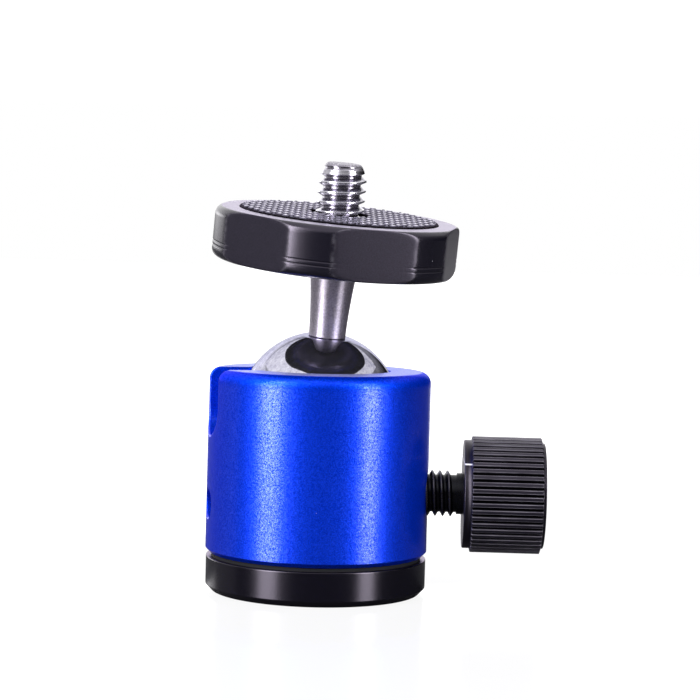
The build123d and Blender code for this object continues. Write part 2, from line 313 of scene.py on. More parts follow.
class Line:
    """Origin and three unit directions. The third runs along the line, the first is `across`."""

    def __init__(self, origin, along, across):
        self.origin = np.asarray(origin, float)
        self.z = np.asarray(along, float) / np.linalg.norm(along)
        x = np.asarray(across, float)
        x = x - (x @ self.z) * self.z
        self.x = x / np.linalg.norm(x)
        self.y = np.cross(self.z, self.x)

    def place(self, points):
        """Local millimetres to metres in the frame of the whole head."""
        turned = points @ np.array([self.x, self.y, self.z])
        return (turned + self.origin) * MM


upright = Line((0, 0, 0), (0, 0, 1), (1, 0, 0))
head = Line(ball_centre, head_line, np.cross((0, 1, 0), head_line))
screw = Line(screw_centre, screw_line, (0, 0, 1))
print("the head leans", round(degrees(np.arccos(head.z[2])), 2), "degrees from upright")

# %% [markdown]
# ## Two ways to make a surface
#
# Most pieces here are turned on a lathe, so one profile carried round a line is enough. `rounded`
# softens the profile's corners with true arcs, because an edge that is perfectly sharp never
# catches the light. `grid_piece` then takes any grid of points, closed round the line, and closes
# its ends. A profile that ends on the line stops at a tiny hub, and a fan of triangles fills it.

# %% Profiles and grids
TURN = 2 * pi
HUB = 0.05  # millimetres
HOLD = 0.06  # millimetres
CORNER_SHARE = 0.45
STRAIGHT = 1e-3  # radians
SAME_PLACE = 1e-4  # millimetres


def rounded(points, radii, steps=4):
    """Polyline whose corners are arcs. Points are (radius, height); radii, one for each corner.

    At a corner between unit directions a and b the arc starts radius * tan(turn / 2) before it and ends
    as far after it, but takes no more than CORNER_SHARE of the shorter side. A point is added HOLD
    beyond each end so that flat stretches stay flat.
    """
    points = [np.array(p, float) for p in points]
    out = [points[0]]
    for before, corner, after, radius in zip(points, points[1:], points[2:], radii):
        a, b = corner - before, after - corner
        room = CORNER_SHARE * min(np.linalg.norm(a), np.linalg.norm(b))
        a, b = a / np.linalg.norm(a), b / np.linalg.norm(b)
        turn = np.arccos(np.clip(a @ b, -1, 1))
        if turn < STRAIGHT or radius <= 0:
            out.append(corner)
            continue
        reach = min(radius * tan(turn / 2), room)
        radius = reach / tan(turn / 2)
        side = np.sign(a[0] * b[1] - a[1] * b[0])
        centre = corner - a * reach + side * radius * np.array([-a[1], a[0]])
        start = corner - a * reach - centre
        out.append(corner - a * (reach + min(HOLD, room - reach)))
        for share in np.linspace(0, 1, steps + 1):
            angle = side * turn * share
            spin = np.array([[cos(angle), -sin(angle)], [sin(angle), cos(angle)]])
            out.append(centre + spin @ start)
        out.append(corner + b * (reach + min(HOLD, room - reach)))
    out.append(points[-1])
    keep = [out[0]] + [q for p, q in zip(out, out[1:]) if np.linalg.norm(q - p) > SAME_PLACE]
    return np.array(keep)


def grid_piece(name, points, line, body, node, pole_ends=(True, True), marks=None):
    """Mesh from points[row, column, xyz] in local millimetres, closed across the columns.

    Rows run along the profile. An end row either closes on its mean point, as a fan, or is joined to
    the other end row, for a ring. `marks` gives named shares from 0 to 1 to the grid's points, which a
    finish can read. The piece rides on `body` and stands for the engineering piece `node`.
    """
    rows, columns = points.shape[:2]
    ring = not any(pole_ends)
    flat = points.reshape(-1, 3)
    r = np.arange(rows if ring else rows - 1)[:, None]
    c = np.arange(columns)[None, :]
    nxt, below = (c + 1) % columns, (r + 1) % rows
    quads = np.stack(
        [r * columns + c, r * columns + nxt, below * columns + nxt, below * columns + c], -1
    ).reshape(-1, 4)
    loops, sizes = [quads.ravel()], [np.full(len(quads), 4)]
    turn = np.arange(columns)
    after = (turn + 1) % columns
    for end, closes in zip((0, rows - 1), pole_ends):
        if closes:
            pole = len(flat)
            flat = np.vstack([flat, points[end].mean(0)])
            first, second = (after, turn) if end == 0 else (turn, after)
            fan = np.stack([np.full(columns, pole), end * columns + first, end * columns + second], -1)
            loops.append(fan.ravel())
            sizes.append(np.full(columns, 3))
    loops, sizes = np.concatenate(loops), np.concatenate(sizes)
    mesh = bpy.data.meshes.new(name)
    mesh.vertices.add(len(flat))
    mesh.vertices.foreach_set("co", line.place(flat).astype(np.float32).ravel())
    mesh.loops.add(len(loops))
    mesh.loops.foreach_set("vertex_index", loops.astype(np.int32))
    mesh.polygons.add(len(sizes))
    mesh.polygons.foreach_set("loop_start", (np.cumsum(sizes) - sizes).astype(np.int32))
    mesh.polygons.foreach_set("use_smooth", np.ones(len(sizes), bool))
    mesh.update(calc_edges=True)
    for mark, share in (marks or {}).items():
        values = np.zeros(len(flat), np.float32)
        values[: rows * columns] = np.broadcast_to(share, (rows, columns)).ravel()
        mesh.attributes.new(mark, "FLOAT", "POINT").data.foreach_set("value", values)
    piece = bpy.data.objects.new(name, mesh)
    bpy.context.scene.collection.objects.link(piece)
    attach(piece, body)
    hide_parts(node)
    print(name, len(mesh.polygons), "faces")
    return piece


def revolved(profile, columns):
    """Points of a profile of (radius, height) carried round the line in equal steps."""
    angle = np.arange(columns) * TURN / columns
    radius, height = profile[:, 0][:, None], profile[:, 1][:, None]
    return np.stack([radius * np.cos(angle), radius * np.sin(angle), height + 0 * angle], -1)


# %% [markdown]
# ## Grain, dust and turning marks
#
# Real finishes are never one flat colour. Three helpers cover this head: grain from a noise of any
# size, thin rings as a lathe leaves them, and a few specks of dust. Two more measure how far a
# point is along a line or from it, so that a finish can change at a height. Lengths are given in
# millimetres. A noise over points scales them to metres, and the rings' noise runs in millimetres.

# %% Helpers for finishes
def new_finish(name):
    """An empty node material and the maker of its nodes."""
    material = bpy.data.materials.new(name)
    material.use_nodes = True
    return material, Nodes(material.node_tree)


def object_point(maker):
    """The place of the shaded point in the frame of the whole head."""
    return maker.make("TexCoord", output="Object")


def grain(maker, size, detail=2.0, roughness=0.6):
    """Noise whose lumps are about `size` millimetres across."""
    return maker.make(
        "TexNoise",
        Vector=object_point(maker),
        Scale=1 / (size * MM),
        Detail=detail,
        Roughness=roughness,
    )


def from_origin(maker, line):
    """The way from a line's origin to the shaded point."""
    return maker.make(
        "VectorMath", {"operation": "SUBTRACT"}, i0=object_point(maker), i1=tuple(line.origin * MM)
    )


def distance_along(maker, line):
    """Millimetres along a line from its origin: the dot product of the point with its direction."""
    out = from_origin(maker, line)
    along = maker.make(
        "VectorMath", {"operation": "DOT_PRODUCT"}, output="Value", i0=out, i1=tuple(line.z)
    )
    return along * (1 / MM)


def distance_from(maker, line):
    """Millimetres from a line: the length of the cross product with its direction."""
    out = from_origin(maker, line)
    across = maker.make("VectorMath", {"operation": "CROSS_PRODUCT"}, i0=out, i1=tuple(line.z))
    length = maker.make("VectorMath", {"operation": "LENGTH"}, output="Value", i0=across)
    return length * (1 / MM)


def rings(maker, where, width):
    """Noise that depends on one length only, so it draws rings `width` millimetres wide."""
    return maker.make("TexNoise", {"noise_dimensions": "1D"}, W=where, Scale=1 / width, Detail=3.0)


SHARP = 1e-4


def specks(maker, spacing, size, share):
    """Rare round specks: cells `spacing` apart, of which a share holds a dot of radius `size`."""
    cell = maker.make(
        "TexVoronoi", output="Distance", Vector=object_point(maker), Scale=1 / (spacing * MM)
    )
    chance = maker.make("SeparateColor", Color=Value(maker, cell.socket.node.outputs["Color"]))
    dot = 1 - cell.clamped(0.5 * size / spacing, size / spacing)
    return dot * chance.clamped(1 - share, 1 - share + SHARP)


def blend(maker, factor, first, second):
    """Colour between two colours. Either may be a tuple or a link."""
    return maker.make(
        "Mix", {"data_type": "RGBA", "clamp_factor": True}, output=2, i0=factor, i6=first, i7=second
    )


def bump(maker, height, depth):
    """Normal from a height between 0 and 1 that stands for `depth` millimetres."""
    return maker.make("Bump", Strength=1.0, Distance=depth * MM, Height=height)


def surface(maker, **sockets):
    """The one shader of a finish, with its output."""
    maker.make("OutputMaterial", Surface=maker.make("BsdfPrincipled", **sockets))


def colour(red, green, blue):
    """Linear colour with full cover."""
    return (red, green, blue, 1.0)


def dress(node, material):
    """Give every material slot of an engineering piece this finish."""
    for slot in nodes[node].material_slots:
        slot.material = material


# %% [markdown]
# ## Blue anodised cup
#
# The cup is turned aluminium, blasted with fine beads and anodised blue. The dye sits in a clear
# oxide over metal, so the metal's reflection takes the blue while the oxide adds a thin white sheen
# of its own. The blasting breaks the highlights into a fine sparkle. The sheen is weak over the
# rounded shoulder, and stronger again on the flat ring at the mouth. That ring is also painted pale
# lavender, a painted sheen for the white backdrop it mirrors at a grazing view. Both are found by
# height in millimetres.

# %% Blue anodised finish
CUP_SHOULDER = (26.9, 27.9)
CUP_MOUTH = (28.93, 28.99)
blue_anodised, m = new_finish("blue_anodised")
fine = grain(m, 0.17, detail=1.5, roughness=0.7)
coarse = grain(m, 0.24, detail=1.0)
sparkle = (fine * 0.65 + coarse * 0.35).clamped(0.40, 0.64)
patch = grain(m, 9.0)
height = distance_along(m, upright)
over_edge = height.clamped(*CUP_SHOULDER)
mouth_ring_sheen = height.clamped(*CUP_MOUTH)
dust_mask = specks(m, 2.6, 0.075, 0.05)
tint = blend(m, sparkle, colour(0.0, 0.027, 0.57), colour(0.0, 0.058, 0.96))
# Painted sheen: the flat ring at the mouth is coloured pale lavender for its grazing reflection.
tint = blend(m, mouth_ring_sheen * 0.9, tint, colour(0.55, 0.56, 0.92))
tint = blend(m, dust_mask, tint, colour(0.75, 0.78, 0.95))
surface(
    m,
    Base_Color=tint,
    Metallic=0.80,
    Roughness=patch * 0.04 + 0.42 - sparkle * 0.06,
    Specular_IOR_Level=0.0,
    Specular_Tint=(0.05, 0.15, 1.0, 1),
    Coat_Weight=(1 - over_edge * 0.78 + mouth_ring_sheen * 0.40) * (sparkle * 1.5 + 0.12),
    Coat_Roughness=0.235,
    Normal=bump(m, fine * 0.7 + coarse * 0.3, 0.022),
)
dress("housing", blue_anodised)
print("cup dressed")

# %% [markdown]
# ## Black base
#
# The foot is turned and anodised black, smooth enough to draw the soft boxes as two narrow bands.
# Its edges are broken, and the socket underneath has a real 1/4 inch thread, cut as a spiral groove
# that fades out at its deep end and at its mouth. Above the foot a plug reaches up into the cup.
# The ledge between them lies in a dark gap and is painted shade: a metal whose colour is black
# mirrors next to nothing.

# %% Base plate
PITCH_QUARTER_INCH = 1.27
SOCKET_WALL, SOCKET_MAJOR = 2.55, 3.20
SOCKET_DEEP = 6.0
SOCKET_DRILL = 2.4
SOCKET_FLARE, FLARE_ROWS = 0.65, 8
THREAD_TOP, THREAD_TOP_FADE, THREAD_MOUTH_FADE = 5.6, 0.8, 0.5
FOOT_CHAMFER, FOOT_TOP = 0.8, 4.5
FOOT_LEDGE = (4.42, 4.48)
PLUG_R, PLUG_TOP = 10.57, 7.4
BASE_COLUMNS = 144


def ridge_share(phase, land=0.16, foot=0.82):
    """Height of a 60 degree ridge, 0 at its foot and 1 on its land, for a phase counted in pitches."""
    off = np.abs(phase - np.round(phase)) * 2
    return np.clip((foot - off) / (foot - land), 0, 1)


def thread(profile, columns, reach, pitch, share, phase_shift=0.0):
    """Turned points whose radius grows by reach * share * ridge_share(phase).

    The phase is height / pitch - angle / turn - phase_shift, which is constant along a right-hand
    spiral.
    """
    points = revolved(profile, columns)
    turn = np.arange(columns) / columns
    phase = profile[:, 1][:, None] / pitch - turn[None, :] - phase_shift
    grow = reach * ridge_share(phase) * np.broadcast_to(share, len(profile))[:, None]
    radius = np.hypot(points[..., 0], points[..., 1])
    points[..., :2] *= ((radius + grow) / np.maximum(radius, 1e-9))[..., None]
    return points


base_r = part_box("base_plate")[1][0] / MM
outside = rounded(
    [
        (SOCKET_WALL + SOCKET_FLARE, 0.0),
        (base_r - FOOT_CHAMFER, 0.0),
        (base_r, FOOT_CHAMFER),
        (base_r, FOOT_TOP),
        (PLUG_R, FOOT_TOP),
        (PLUG_R, PLUG_TOP),
        (HUB, PLUG_TOP),
    ],
    [0.12, 0.12, 0.16, 0.1, 0.12],
)
wall_z = np.linspace(SOCKET_DEEP - 0.1, 0.0, 110)
wall = np.stack([SOCKET_WALL + 0 * wall_z, wall_z], 1)
wall[-FLARE_ROWS:, 0] = SOCKET_WALL + np.linspace(0, SOCKET_FLARE, FLARE_ROWS)
socket_profile = np.vstack([[(HUB, SOCKET_DEEP), (SOCKET_DRILL, SOCKET_DEEP)], wall])
base_profile = np.vstack([socket_profile, outside])
cut = np.zeros(len(base_profile))
heights = socket_profile[:, 1]
below_top = np.clip((THREAD_TOP - heights) / THREAD_TOP_FADE, 0, 1)
cut[: len(socket_profile)] = below_top * np.clip(heights / THREAD_MOUTH_FADE, 0, 1)
base_points = thread(
    base_profile, BASE_COLUMNS, SOCKET_MAJOR - SOCKET_WALL, PITCH_QUARTER_INCH, cut
)
base_piece = grid_piece("base_foot", base_points, upright, "body", "base_plate")

VIOLET_SHINE = (0.90, 0.80, 1.0, 1)
black_satin, m = new_finish("black_anodised_turned")
turning = rings(m, distance_along(m, upright), 0.10)
soft = grain(m, 0.16, detail=1.0)
# Painted shade: the ledge in the gap between foot and cup is a black metal, so it stays dark.
ledge_painted_shade = distance_along(m, upright).clamped(*FOOT_LEDGE)
dust_mask = specks(m, 2.1, 0.07, 0.07)
tint = blend(m, soft, colour(0.001, 0.001, 0.002), colour(0.003, 0.0027, 0.006))
surface(
    m,
    Base_Color=blend(m, dust_mask, tint, colour(0.6, 0.6, 0.62)),
    Metallic=ledge_painted_shade * 0.9,
    Roughness=turning * 0.04 + soft * 0.05 + 0.17,
    Specular_IOR_Level=0.52,
    Specular_Tint=VIOLET_SHINE,
    Normal=bump(m, turning * 0.4 + soft * 0.6, 0.002),
)
base_piece.data.materials.append(black_satin)

# %% [markdown]
# ## The spacer ring
#
# A plain black plastic ring fills the groove between foot and cup. It is set back from both, so it
# only reads as a dark line. It keeps its engineering shape and gets a dull moulded finish.

# %% Spacer ring
dull_black, m = new_finish("dull_black_plastic")
soft = grain(m, 0.25)
surface(
    m,
    Base_Color=blend(m, soft, colour(0.004, 0.004, 0.006), colour(0.012, 0.012, 0.015)),
    Roughness=soft * 0.15 + 0.60,
    Specular_IOR_Level=0.2,
    Normal=bump(m, soft, 0.01),
)
dress("base_washer", dull_black)

# %% [markdown]
# ## The ball
#
# A chromed ball is a mirror, so its look is all in its surroundings. It still isn't perfect:
# hair-fine marks run over it, the plating is faintly cloudy and not quite even, and a few flecks
# sit on it. A small flat is turned round the foot of the stem.

# %% Ball
ball_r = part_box("ball")[1][0] / MM
FLAT_HEIGHT, FLAT_MIDDLE, FLAT_LIP = 10.0, 9.98, 9.995
FLAT_MIDDLE_R = 2.2
LOW_POLE_GAP = 0.004
BALL_COLUMNS = 192
HAIR_LAY, HAIR_STRETCH, HAIR_SCALE = (0.4, 0.7, 0.2), (1.0, 14.0, 1.0), 220.0
flat_r = (ball_r**2 - FLAT_HEIGHT**2) ** 0.5
polar = np.linspace(np.arcsin(flat_r / ball_r), pi - LOW_POLE_GAP, 110)
arc = np.stack([ball_r * np.sin(polar), ball_r * np.cos(polar)], 1)
flat = [(HUB, FLAT_MIDDLE), (FLAT_MIDDLE_R, FLAT_MIDDLE), (flat_r - 0.10, FLAT_HEIGHT)]
flat_edge = [(flat_r - 0.03, FLAT_LIP)]
ball_points = revolved(np.vstack([flat, flat_edge, arc])[::-1], BALL_COLUMNS)
ball_piece = grid_piece("polished_ball", ball_points, head, "ball", "ball")

mirror, m = new_finish("mirror_chrome")
haze = grain(m, 1.6, detail=3.0)
peel = grain(m, 0.30, detail=2.0)
cloud = grain(m, 0.9, detail=6.0, roughness=0.75).clamped(0.35, 0.65)
hair = m.make(
    "TexNoise",
    Vector=m.make("Mapping", Vector=object_point(m), Rotation=HAIR_LAY, Scale=HAIR_STRETCH),
    Scale=HAIR_SCALE,
    Detail=2.0,
)
fleck = specks(m, 0.9, 0.05, 0.10)
chrome_tint = blend(m, cloud, colour(0.44, 0.43, 0.55), colour(0.76, 0.75, 0.86))
surface(
    m,
    Base_Color=blend(m, fleck, chrome_tint, colour(0.25, 0.25, 0.30)),
    Metallic=0.985,
    Specular_Tint=(0.48, 0.48, 0.56, 1),
    Roughness=haze.clamped(0.45, 0.75) * 0.05 + 0.035,
    Normal=bump(m, hair * 0.5 + peel * 0.5, 0.0014),
)
ball_piece.data.materials.append(mirror)

# %% [markdown]
# ## Stem and camera screw
#
# One steel bar is turned into the flared stem and, above the platform, the camera screw. The
# profile is a tang inside the ball, the stem's flare, a short shank inside the platform and then
# the thread's root. The thread's ridge is a spiral, so its rise depends on one phase:
# height / pitch - angle / turn. It fades in at the foot, and the top is chamfered, as a die and a
# parting tool leave it. The bar is mottled steel. The thread's crests are painted light and its
# roots dark, a painted highlight and painted shade, and the parted tip is rougher.

# %% Stem
FLARE = [(10.05, 2.40), (12.4, 2.49), (14.7, 2.64), (17.0, 2.87), (19.2, 3.12)]
FLARE_LOW, FLARE_HIGH = 10.05, 19.1
SHANK_R, SHANK_TOP = 2.75, 24.4
SCREW_START, SCREW_TOP = 24.6, 32.6
SCREW_ROOT, SCREW_CREST = 2.38, 3.12
SCREW_PHASE = 0.10
SCREW_RUN_IN = 0.5
SCREW_LEAD = [(30.5, 3.12), (31.2, 2.88), (31.9, 2.66), (32.35, 2.38), (32.6, 2.10)]
PAINTED_CREST_SPAN = (2.45, 3.10)
PARTED_TIP = (32.35, 32.5)
STEM_COLUMNS = 144
flare_at = np.linspace(FLARE_LOW, FLARE_HIGH, 60)
bend = np.polyfit([z for z, _ in FLARE], [r for _, r in FLARE], 3)
flare = np.stack([np.polyval(bend, flare_at), flare_at], 1)
tang = np.array([(HUB, 5.0), (1.85, 5.0), (1.9, 5.1), (1.9, 10.0), (2.30, 10.02), (2.38, 10.04)])
neck = np.array([(3.12, 19.18), (3.08, 19.22), (2.78, 19.24), (SHANK_R, 19.4), (SHANK_R, SHANK_TOP)])
screw_at = np.linspace(SCREW_START, SCREW_TOP - 0.02, 230)
screw_wall = np.stack([SCREW_ROOT + 0 * screw_at, screw_at], 1)
tip_radius = np.array([2.06, 1.7, 1.2, HUB])
tip_face = np.stack([tip_radius, SCREW_TOP - np.array([0, 0.02, 0.05, 0.05])], 1)
stem_profile = np.vstack([tang, flare, neck, screw_wall, tip_face])
share = np.zeros(len(stem_profile))
on_screw = slice(len(tang) + len(flare) + len(neck), len(stem_profile) - len(tip_face))
share[on_screw] = np.clip((screw_at - SCREW_START) / SCREW_RUN_IN, 0, 1)
stem_points = thread(
    stem_profile,
    STEM_COLUMNS,
    SCREW_CREST - SCREW_ROOT,
    PITCH_QUARTER_INCH,
    share,
    phase_shift=SCREW_PHASE,
)
lead = np.interp(stem_profile[:, 1], *zip(*SCREW_LEAD))[:, None]
reach_r = np.hypot(stem_points[..., 0], stem_points[..., 1])
stem_points[..., :2] *= np.minimum(1, lead / np.maximum(reach_r, 1e-9))[..., None]
stem_piece = grid_piece("stem_and_screw", stem_points, head, "stem", "stem")

turned_steel, m = new_finish("turned_steel")
along = distance_along(m, head)
turning = rings(m, along, 0.14)
mottle = grain(m, 0.22, detail=2.5, roughness=0.7)
pits = specks(m, 0.75, 0.09, 0.20)
on_thread = along.clamped(SHANK_TOP, SCREW_START)
bar_tint = blend(m, mottle.clamped(0.3, 0.7), colour(0.34, 0.30, 0.38), colour(0.62, 0.57, 0.66))
bar_tint = blend(m, pits, bar_tint, colour(0.10, 0.09, 0.11))
# Painted highlight and shade: the thread is coloured light on its crests and dark in its roots.
painted_crest_light = distance_from(m, head).clamped(*PAINTED_CREST_SPAN)
tip = along.clamped(*PARTED_TIP)
screw_tint = blend(m, painted_crest_light, colour(0.30, 0.28, 0.33), colour(0.86, 0.84, 0.92))
tip_tint = blend(m, mottle.clamped(0.35, 0.65), colour(0.16, 0.15, 0.19), colour(0.55, 0.52, 0.58))
screw_tint = blend(m, tip, screw_tint, tip_tint)
surface(
    m,
    Base_Color=blend(m, on_thread, bar_tint, screw_tint),
    Metallic=1.0,
    Roughness=mottle * 0.16 + turning * 0.06 + 0.26 - on_thread * 0.14 + tip * 0.25,
    Normal=bump(m, (turning * 0.5 + mottle * 0.5) * (1 - on_thread * 0.6), 0.012),
)
stem_piece.data.materials.append(turned_steel)

# %% [markdown]
# ## The platform
#
# A turned disc of black aluminium has six grip flats milled across its rim. Where a flat is nearer
# to the middle than the turned rim is, the flat wins: the radius is the smaller of the two,
# softened a little so the edge catches the light. Two fine grooves run low on the turned rim. The
# marks `on_flat` and `at_edge` tell the finish where the flats are and where their edges are. The
# edges are painted lighter, partly as wear and partly as a painted highlight. The narrow face round
# the pad is painted a lighter grey, a painted sheen for the light it catches at a grazing view.

# %% Platform
FLAT_DISTANCE = 15.1
FLAT_BEARING = radians(-71.7)
RIM_R = 16.05
RIM_LOW, RIM_HIGH = 19.25, 25.89
SEAT_R, SEAT_Z = 12.90, 24.75
RING_HEIGHTS = (20.9, 21.45)
RING_DEEP, RING_HALF = 0.12, 0.07
EDGE_SOFT = 0.12
SIDE_LOW, SIDE_MIDDLE, SIDE_HIGH = RIM_LOW + 1.30, 22.5, RIM_HIGH - 1.2
SIDE_STEP = 0.06
SEAT_MARGIN = 0.3
FLAT_FADE, EDGE_WIDTH = 0.2, 0.09
PLATFORM_COLUMNS = 720
BORE_R = SHANK_R + 0.06
rim = rounded(
    [
        (BORE_R, RIM_LOW),
        (RIM_R, RIM_LOW),
        (RIM_R, RIM_HIGH),
        (SEAT_R, RIM_HIGH),
        (SEAT_R, SEAT_Z),
        (SHANK_R + 0.4, SEAT_Z),
        (BORE_R, SEAT_Z),
    ],
    [1.2, 1.1, 0.10, 0.05, 0.05],
    steps=12,
)
side = np.arange(SIDE_LOW, SIDE_HIGH, SIDE_STEP)
extra = np.stack([RIM_R + 0 * side, side], 1)
at_side = int(np.argmax(rim[:, 1] > SIDE_MIDDLE))
rim = np.vstack([rim[:at_side], extra, rim[at_side:]])
rim = rim[np.r_[True, np.linalg.norm(np.diff(rim, axis=0), axis=1) > SAME_PLACE]]
platform_points = revolved(rim, PLATFORM_COLUMNS)
angle = np.arange(PLATFORM_COLUMNS) * TURN / PLATFORM_COLUMNS
off_flat = (angle - FLAT_BEARING + pi / 6) % (pi / 3) - pi / 6
flat_at = FLAT_DISTANCE / np.cos(off_flat)
turned_at = rim[:, 0].copy()
for ring_z in RING_HEIGHTS:
    groove = np.exp(-(((rim[:, 1] - ring_z) / RING_HALF) ** 2))
    turned_at = turned_at - RING_DEEP * groove * (rim[:, 0] > RIM_R - 0.05)
turned_at = turned_at[:, None]
gap = flat_at[None, :] - turned_at
near_rim = (rim[:, 0] > SEAT_R + SEAT_MARGIN)[:, None]
smaller = turned_at + 0.5 * (gap - np.sqrt(gap**2 + EDGE_SOFT**2))
new_r = np.where(near_rim, smaller, turned_at)
platform_points[..., :2] *= (new_r / rim[:, 0][:, None])[..., None]
on_flat = np.clip(0.5 - gap / FLAT_FADE, 0, 1) * near_rim
at_edge = np.exp(-((gap / EDGE_WIDTH) ** 2)) * near_rim
platform_piece = grid_piece(
    "grip_platform",
    platform_points,
    head,
    "platform",
    "platform",
    pole_ends=(False, False),
    marks={"on_flat": on_flat, "at_edge": at_edge},
)

black_platform, m = new_finish("black_anodised_platform")
flat_mark = m.make("Attribute", {"attribute_name": "on_flat"}, output="Fac")
edge_mark = m.make("Attribute", {"attribute_name": "at_edge"}, output="Fac")
blasted = grain(m, 0.15, detail=2.0)
turning = rings(m, distance_from(m, head), 0.12)
dust_mask = specks(m, 1.7, 0.07, 0.08)
# Painted sheen: the narrow face round the pad is coloured lighter grey and given some metal.
seat_face_painted_sheen = distance_along(m, head).clamped(RIM_HIGH - 0.06, RIM_HIGH - 0.01)
flat_grain = blasted.clamped(0.3, 0.7)
flat_tint = blend(m, flat_grain, colour(0.003, 0.0028, 0.006), colour(0.014, 0.0125, 0.022))
turned_tint = blend(m, blasted, colour(0.002, 0.002, 0.004), colour(0.006, 0.0055, 0.011))
tint = blend(m, flat_mark, turned_tint, flat_tint)
# The flats' edges are painted lighter: partly wear, partly a painted highlight.
wear_and_painted_glint = edge_mark * grain(m, 0.9, detail=2.0).clamped(0.35, 0.60) * 0.15
tint = blend(m, wear_and_painted_glint, tint, colour(0.30, 0.28, 0.33))
tint = blend(m, seat_face_painted_sheen, tint, colour(0.27, 0.25, 0.32))
surface(
    m,
    Base_Color=blend(m, dust_mask, tint, colour(0.55, 0.55, 0.60)),
    Roughness=flat_mark * 0.09 + turning * 0.05 + blasted * 0.05 + 0.20 + seat_face_painted_sheen * 0.10,
    Metallic=seat_face_painted_sheen * 0.35 + flat_mark * 0.20,
    Specular_IOR_Level=0.6,
    Specular_Tint=VIOLET_SHINE,
    Normal=bump(m, blasted * (flat_mark * 0.8 + 0.2) + turning * 0.10, 0.009),
)
platform_piece.data.materials.append(black_platform)

# %% [markdown]
# ## The rubber pad
#
# The pad keeps a camera from slipping. It is moulded with a fine staggered diamond grain: two
# families of slanting lines cross, and each cell between them is a small flat-topped lozenge. The
# height falls off near either line family, so it is the smaller of two ramps. The tops have a soft
# shine and are painted a light lavender grey, a painted highlight for their glints. The lines
# between are painted shade: there the finish is again a metal whose colour is black, so they stay
# black.

# %% Rubber pad
PAD_R, PAD_HOLE = 12.85, 3.9
PAD_TOP = 26.25
PAD_LOW = SEAT_Z + 0.02
PAD_ROUND = 0.12
PAD_COLUMNS = 860
PLAIN_RIM, RIM_RAMP = 0.28, 0.08
LOZENGE_WIDE, LOZENGE_DEEP = 1.49, 2.86
LOZENGE_RISE = 0.22
LINE_HALF, LINE_RAMP = 0.17, 0.07


def lozenges(x, y):
    """1 on a lozenge's top and 0 in the lines between, where u or v is half way between two cells."""
    u, v = x / LOZENGE_WIDE + y / LOZENGE_DEEP, x / LOZENGE_WIDE - y / LOZENGE_DEEP
    to_line = [0.5 - np.abs(w - np.round(w)) for w in (u, v)]
    return np.clip((np.minimum(*to_line) - LINE_HALF) / LINE_RAMP, 0, 1)


spread = np.linspace(PAD_HOLE + 0.12, PAD_R - PAD_ROUND, 110)
pad_profile = np.vstack(
    [
        [(PAD_HOLE, PAD_LOW), (PAD_HOLE, PAD_TOP - 0.35), (PAD_HOLE + 0.05, PAD_TOP - 0.15)],
        np.stack([spread, PAD_TOP + 0 * spread], 1),
        [(PAD_R - 0.03, PAD_TOP - 0.24), (PAD_R, PAD_TOP - 0.30), (PAD_R, PAD_LOW)],
    ]
)[::-1]
pad_points = revolved(pad_profile, PAD_COLUMNS)
on_grain = np.isclose(pad_profile[:, 1], PAD_TOP)[:, None]
inside = np.clip((PAD_R - PLAIN_RIM - pad_profile[:, 0]) / RIM_RAMP, 0, 1)[:, None]
relief = lozenges(pad_points[..., 0], pad_points[..., 1])
pad_points[..., 2] -= np.where(on_grain, LOZENGE_RISE * (1 - relief * inside), 0)
pad_piece = grid_piece(
    "rubber_pad_top",
    pad_points,
    head,
    "platform",
    "rubber_pad",
    pole_ends=(False, False),
    marks={"lozenge": relief * inside * on_grain},
)

black_rubber, m = new_finish("black_rubber")
# Painted glints on the lozenge tops, coloured light; painted shade in the black lines between.
lozenge_top_painted_glint = m.make("Attribute", {"attribute_name": "lozenge"}, output="Fac")
soft = grain(m, 0.12, detail=2.0)
surface(
    m,
    Base_Color=blend(m, lozenge_top_painted_glint * soft, colour(0.001, 0.001, 0.001), colour(0.42, 0.40, 0.54)),
    Metallic=0.95 - lozenge_top_painted_glint * 0.55,
    Roughness=soft * 0.08 + 0.70 - lozenge_top_painted_glint * 0.56,
    Specular_Tint=VIOLET_SHINE,
    Normal=bump(m, soft, 0.003),
)
pad_piece.data.materials.append(black_rubber)

# %% [markdown]
# ## The knob
#
# The grip is turned and straight-knurled: 52 ribs run along it from a plain collar to a plain end
# land. Round the knob the radius steps between root and crest, along it the ribs end in short
# ramps. The shape of one rib is a list of places across it, from 0 to 1, each with its height as a
# share of the rise. The mark `corner` lies along the ribs' edges, which are painted lighter: a
# painted highlight for their glints, with some wear. The mark `groove` lies between the ribs, which
# is painted shade: a metal whose colour is black stays dark there. A short light line on the
# collar, at the front and at the back, is a painted highlight for a glint.

# %% Knob grip
RIBS = 52
RIB_ROOT, RIB_RISE = 7.2, 0.38
RIB_SAMPLES = np.array(
    [0.02, 0.10, 0.18, 0.215, 0.27, 0.325, 0.36, 0.45, 0.60, 0.75, 0.84, 0.875, 0.925, 0.975]
)
RIB_LOW_SIDE = [(0.0, 0), (0.2, 0), (0.23, 0.12), (0.32, 0.88), (0.36, 1)]
RIB_HIGH_SIDE = [(0.84, 1), (0.88, 0.88), (0.97, 0.06), (1.0, 0)]
RIB_CORNERS = [(0.27, 0), (0.36, 1), (0.45, 0), (0.75, 0), (0.84, 1), (0.925, 0)]
RIB_ENDS = [(20.03, 0), (20.12, 1), (29.12, 1), (29.24, 0)]
LOW_RAMP_ROWS = [20.04, 20.08, 20.14, 20.20]
RIB_ROWS = np.linspace(20.4, 28.8, 22)
HIGH_RAMP_ROWS = [29.02, 29.10, 29.17, 29.22]
RAMP_START = 29.0
GRIP_BORE, BORE_DEEP = 2.75, 24.0
COLLAR_R, COLLAR_LOW, COLLAR_TOP = 7.07, 19.05, 20.0
RIBS_LOW, RIBS_TOP = 20.03, 29.25
LAND_R, LAND_TOP = 6.9, 29.6
RECESS_R, RECESS_FLOOR = 6.22, 28.9
